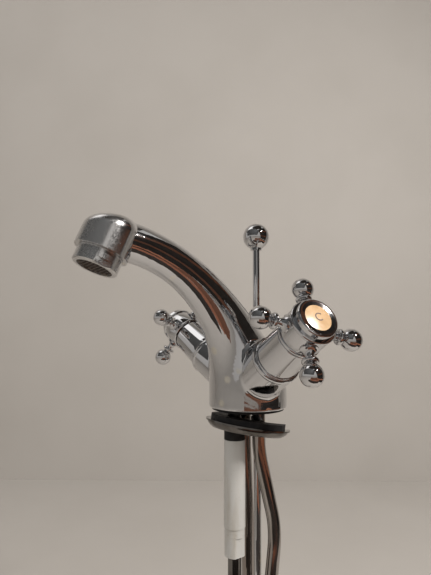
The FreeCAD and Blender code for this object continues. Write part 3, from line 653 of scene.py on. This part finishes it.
@dataclass
class CrossHandle(SubAssembly):
    """Ball-ended cross handle with a plain letter on its glazed disc."""

    side: Side
    letter_size: float = 0.0062
    letter_height: float = 0.00012
    letter_sink: float = 0.00004

    def build(self) -> None:
        """Dress the nodes, then put the letter on."""
        super().build()
        self.index_letter()

    def disc_face(self) -> Matrix:
        """Frame on the disc's face, with Z outwards and Y upwards.

        Returns:
            The frame as a matrix.
        """
        joint = next(joint for joint in frame["joints"] if joint["child"] == self.body)
        outward = Vector(joint["axis"]).normalized()
        hub = Vector(joint["pos_m"])
        disc = frame["nodes"][self.side.name.lower() + "_index_disc"].data
        reach = max((vert.co - hub).dot(outward) for vert in disc.vertices)
        upward = (Vector((0, 0, 1)) - outward * outward.z).normalized()
        turn = Matrix((upward.cross(outward), upward, outward)).transposed()
        return Matrix.Translation(hub + outward * (reach - self.letter_sink)) @ turn.to_4x4()

    def index_letter(self) -> bpy.types.Object:
        """Fire the letter on the disc.

        Returns:
            The letter as a piece.
        """
        name = self.side.name.lower() + "_index_letter"
        curve = bpy.data.curves.new(name, "FONT")
        curve.body = self.side.value
        curve.size = self.letter_size
        curve.extrude = self.letter_height
        curve.align_x = "CENTER"
        curve.align_y = "CENTER"
        holder = new_object(name, curve)
        bpy.context.view_layer.update()
        flat = holder.evaluated_get(bpy.context.evaluated_depsgraph_get())
        shape = bmesh.new()
        shape.from_mesh(bpy.data.meshes.new_from_object(flat))
        bpy.data.objects.remove(holder)
        bpy.data.curves.remove(curve)
        bmesh.ops.remove_doubles(shape, verts=shape.verts, dist=self.dresser.weld)
        bmesh.ops.transform(shape, matrix=self.disc_face(), verts=shape.verts)
        return self.dresser.piece(name, shape, self.body, "cream_enamel", Solid.INK)


@dataclass
class ClampSet(SubAssembly):
    """Horseshoe plate with a thin lip and a drawn-in side, its rubber, bush, sleeve and nut."""

    plate: ClassVar[str] = "clamp_plate"
    level: float = -0.0092
    tilt: float = math.radians(-10.0)
    side_height: float = 0.0045
    lip: float = 0.0009
    fold: float = 0.0002
    lip_width: float = 0.0010
    draw: float = 0.0028
    flat_radius: float = 0.020
    rings: int = 6
    cut_reach: float = 1e-7

    def shaped_here(self) -> set[str]:
        """The plate gets a shape of its own."""
        return {self.plate}

    def build(self) -> None:
        """Dress the nodes, then shape the plate."""
        super().build()
        self.dished_plate()

    def dished_plate(self) -> bpy.types.Object:
        """Draw in the side of the plate below its lip, in a rounded bowl.

        Returns:
            The plate as a piece.
        """
        seat = Matrix.Translation((0, 0, self.level)) @ Matrix.Rotation(self.tilt, 4, "X")
        shape = self.dresser.welded(self.plate)
        bmesh.ops.transform(shape, matrix=seat.inverted(), verts=shape.verts)
        side = self.side_height - self.lip
        levels = [
            self.lip + self.fold + (side - self.fold) * ring / self.rings
            for ring in range(self.rings)
        ]
        for depth in (self.lip, *levels):
            every = shape.verts[:] + shape.edges[:] + shape.faces[:]
            bmesh.ops.bisect_plane(
                shape, geom=every, dist=self.cut_reach, plane_co=(0, 0, -depth), plane_no=(0, 0, 1)
            )
        for vert in shape.verts:
            depth = -vert.co.z - self.lip
            reach = math.hypot(vert.co.x, vert.co.y)
            if depth > self.fold / 2 and reach > self.flat_radius:
                inset = self.lip_width + self.draw * (depth / side) ** 2
                vert.co.x *= 1 - inset / reach
                vert.co.y *= 1 - inset / reach
        bmesh.ops.transform(shape, matrix=seat, verts=shape.verts)
        self.dresser.soften(shape)
        thing = self.dresser.piece("clamp_plate_dish", shape, self.body, "zinc_steel", Metal.STEEL)
        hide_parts(self.plate)
        return thing


@dataclass(frozen=True)
class Card:
    """Flat card that stands round the tap and is mirrored in its plating.

    Its azimuth is counted from the camera's side, and both angles are in radians.
    """

    name: str
    azimuth: float
    elevation: float
    distance: float
    width: float
    height: float
    colour: Colour


CARDS = (
    Card("dark_side_card", 1.17, math.radians(20.0), 0.60, 0.80, 0.98, (0.016, 0.012, 0.010)),
    Card("dark_low_card", 1.17, math.radians(-28.0), 0.40, 0.60, 0.16, (0.016, 0.012, 0.010)),
    Card("brown_high_card", 1.20, math.radians(38.0), 0.56, 0.70, 0.09, (0.17, 0.065, 0.032)),
    Card("brown_middle_card", 1.15, math.radians(6.0), 0.56, 0.60, 0.08, (0.15, 0.058, 0.03)),
    Card("brown_low_card", 1.15, math.radians(-24.0), 0.36, 0.50, 0.035, (0.60, 0.25, 0.14)),
    Card("brown_under_card", 0.35, math.radians(-36.0), 0.34, 0.42, 0.06, (0.36, 0.14, 0.08)),
    Card("brown_near_card", 0.22, math.radians(-24.0), 0.38, 0.32, 0.10, (0.20, 0.085, 0.05)),
    Card("dark_under_card", 0.25, math.radians(-50.0), 0.33, 0.50, 0.12, (0.03, 0.022, 0.018)),
    Card("grey_front_card", -0.70, math.radians(38.0), 0.75, 1.7, 0.80, (0.125, 0.135, 0.145)),
    Card("dark_overhead_card", 0.4, math.radians(78.0), 1.1, 1.2, 0.8, (0.035, 0.030, 0.027)),
)


@dataclass(frozen=True)
class Lamp:
    """Square soft lamp that faces the tap, with its power in watts."""

    name: str
    place: Triple
    size: float
    power: float
    colour: Colour


LAMPS = (
    Lamp("key", (0.62, 0.22, 0.62), 0.10, 8.0, (1.0, 0.97, 0.94)),
    Lamp("fill", (-0.10, -0.75, 0.95), 1.4, 4.5, (1.0, 0.98, 0.97)),
)


@dataclass
class Studio:
    """Camera, wall, floor and light."""

    eye: Vector = field(default_factory=lambda: Vector((0.21864, -0.16693, 0.04736)))
    look: Vector = field(default_factory=lambda: Vector((-0.83311, 0.54393, 0.10036)))
    roll: float = math.radians(0.23)
    focal_px: float = 432.15
    frame_px: float = 575.0
    sensor: float = 36.0
    nearest: float = 0.005
    target: Vector = field(default_factory=lambda: Vector((0, -0.03, 0.05)))
    wall_gap: float = 0.60
    floor_gap: float = 0.002
    stage_size: float = 5.0
    paint: Colour = (0.475, 0.445, 0.41)
    paint_shade: Colour = (0.455, 0.425, 0.39)
    horizon: Colour = (0.385, 0.365, 0.345)
    overhead: Colour = (0.60, 0.585, 0.565)
    sky_span: Span = (-0.3, 0.9)
    sky_strength: float = 0.95

    def build(self) -> None:
        """Set up everything round the tap."""
        bpy.context.scene.view_settings.view_transform = "Standard"
        self.camera()
        self.wall_and_floor()
        self.cards()
        for lamp in LAMPS:
            self.hang(lamp)
        self.world()

    @staticmethod
    def facing(direction: Vector, axis: str = "Z") -> Matrix:
        """Turn that points a local axis along a direction."""
        return direction.to_track_quat(axis, "Y").to_matrix().to_4x4()

    def level_look(self) -> Vector:
        """Level direction in which the camera looks."""
        return Vector((self.look.x, self.look.y, 0)).normalized()

    def camera(self) -> None:
        """Camera at the photograph's viewing angle."""
        data = bpy.data.cameras.new("camera")
        data.sensor_width = self.sensor
        data.lens = self.focal_px * self.sensor / self.frame_px
        data.clip_start = self.nearest
        holder = new_object("camera", data)
        turn = self.facing(self.look, "-Z") @ Matrix.Rotation(self.roll, 4, "Z")
        holder.matrix_world = Matrix.Translation(self.eye) @ turn
        bpy.context.scene.camera = holder

    def plane(
        self, name: str, place: Matrix, width: float, height: float, colour: Colour, second: Colour
    ) -> bpy.types.Object:
        """Stage plane with a faint painted grain.

        Args:
            name: Name of the plane.
            place: Where it stands, with Z as its normal.
            width: Size along its X.
            height: Size along its Y.
            colour: Its colour.
            second: Its other tone.

        Returns:
            The plane.
        """
        shape = bmesh.new()
        bmesh.ops.create_grid(shape, x_segments=2, y_segments=2, size=0.5)
        bmesh.ops.scale(shape, vec=(width, height, 1.0), verts=shape.verts)
        bmesh.ops.transform(shape, matrix=place, verts=shape.verts)
        mesh = mesh_from(name, shape)
        paint = Finish(
            name + "_paint", colour, second, smooth=0.7, rough=0.85, scale=6.0, bump=0.2, bump_scale=260.0
        )
        mesh.materials.append(paint.build())
        thing = new_object(name, mesh)
        return thing

    def wall_and_floor(self) -> None:
        """Beige wall behind the tap and a floor in the same paint under it."""
        behind = self.level_look()
        wall = Matrix.Translation(behind * self.wall_gap) @ self.facing(-behind)
        floor = Matrix.Translation((0, 0, CAD_BOX[0][2] - self.floor_gap))
        for name, place in (("wall", wall), ("floor", floor)):
            self.plane(name, place, self.stage_size, self.stage_size, self.paint, self.paint_shade)

    def cards(self) -> None:
        """Dark, brown and grey cards, which show only as reflections."""
        for card in CARDS:
            away = Matrix.Rotation(card.azimuth, 3, "Z") @ -self.level_look()
            spot = away * math.cos(card.elevation) + Vector((0, 0, math.sin(card.elevation)))
            place = Matrix.Translation(self.target + spot * card.distance) @ self.facing(-spot)
            thing = self.plane(card.name, place, card.width, card.height, card.colour, card.colour)
            thing.visible_camera = False
            thing.visible_diffuse = False
            thing.visible_shadow = False

    def hang(self, lamp: Lamp) -> None:
        """Hang a lamp and aim it at the tap.

        Args:
            lamp: The lamp.
        """
        data = bpy.data.lights.new(lamp.name, "AREA")
        data.size = lamp.size
        data.energy = lamp.power
        data.color = lamp.colour
        holder = new_object(lamp.name, data)
        spot = Vector(lamp.place)
        holder.matrix_world = Matrix.Translation(spot) @ self.facing(self.target - spot, "-Z")

    def world(self) -> None:
        """Plain pale room that is brighter overhead."""
        world = bpy.data.worlds.new("room")
        bpy.context.scene.world = world
        world.use_nodes = True
        graph = Graph(world.node_tree)
        place = graph.add("ShaderNodeTexCoord").outputs["Generated"]
        parts = graph.add("ShaderNodeSeparateXYZ", None, {0: place})
        height = graph.window(Socket(graph, parts.outputs["Z"]), *self.sky_span)
        colour = graph.blend(height, self.horizon, self.overhead)
        sky = graph.add("ShaderNodeBackground", None, {"Color": colour, "Strength": self.sky_strength})
        graph.add("ShaderNodeOutputWorld", None, {"Surface": sky.outputs[0]})


def main() -> None:
    """Build the sub-assemblies and the studio in order."""
    logging.basicConfig(level=logging.INFO)
    dresser = Dresser(Paintbox())
    TapBody(dresser, "tap_body").build()
    CrossHandle(dresser, "cold_handle", Side.COLD).build()
    CrossHandle(dresser, "hot_handle", Side.HOT).build()
    SubAssembly(dresser, "lift_control").build()
    ClampSet(dresser, "clamp_set").build()
    Studio().build()


if __name__ == "__main__":
    main()
